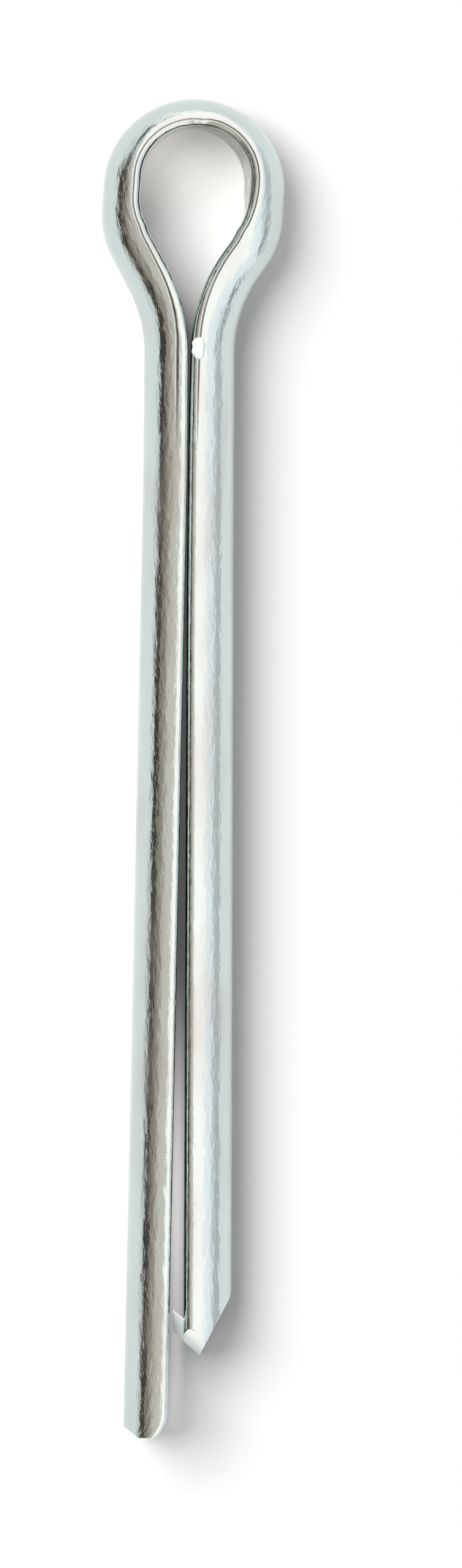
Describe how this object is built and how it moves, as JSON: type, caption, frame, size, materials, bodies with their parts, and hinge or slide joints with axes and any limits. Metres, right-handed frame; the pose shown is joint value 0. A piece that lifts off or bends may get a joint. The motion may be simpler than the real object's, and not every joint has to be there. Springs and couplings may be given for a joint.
{
  "type": "split cotter pin",
  "caption": "Split pin of half-round steel wire doubled back flat to flat, with an open pear-shaped eye, a long leg with a rolled end and a shorter leg cut to a point.",
  "frame": {"origin": "on the axis of the closed shank, at the neck where the round outer sides turn out into the eye", "axes": "+Y along the shank towards the eye, so the legs run towards -Y; +X across the eye's plane towards the short leg; +Z across the wire, upwards as the pin lies flat"},
  "size_m": [0.007, 0.0516, 0.0034],
  "materials": {
    "zinc_plated_wire": "bright zinc plate on drawn mild steel wire, satin with fine lengthwise drawing lines"
  },
  "bodies": {
    "root": {"split_pin": "zinc_plated_wire"}
  },
  "joints": []
}
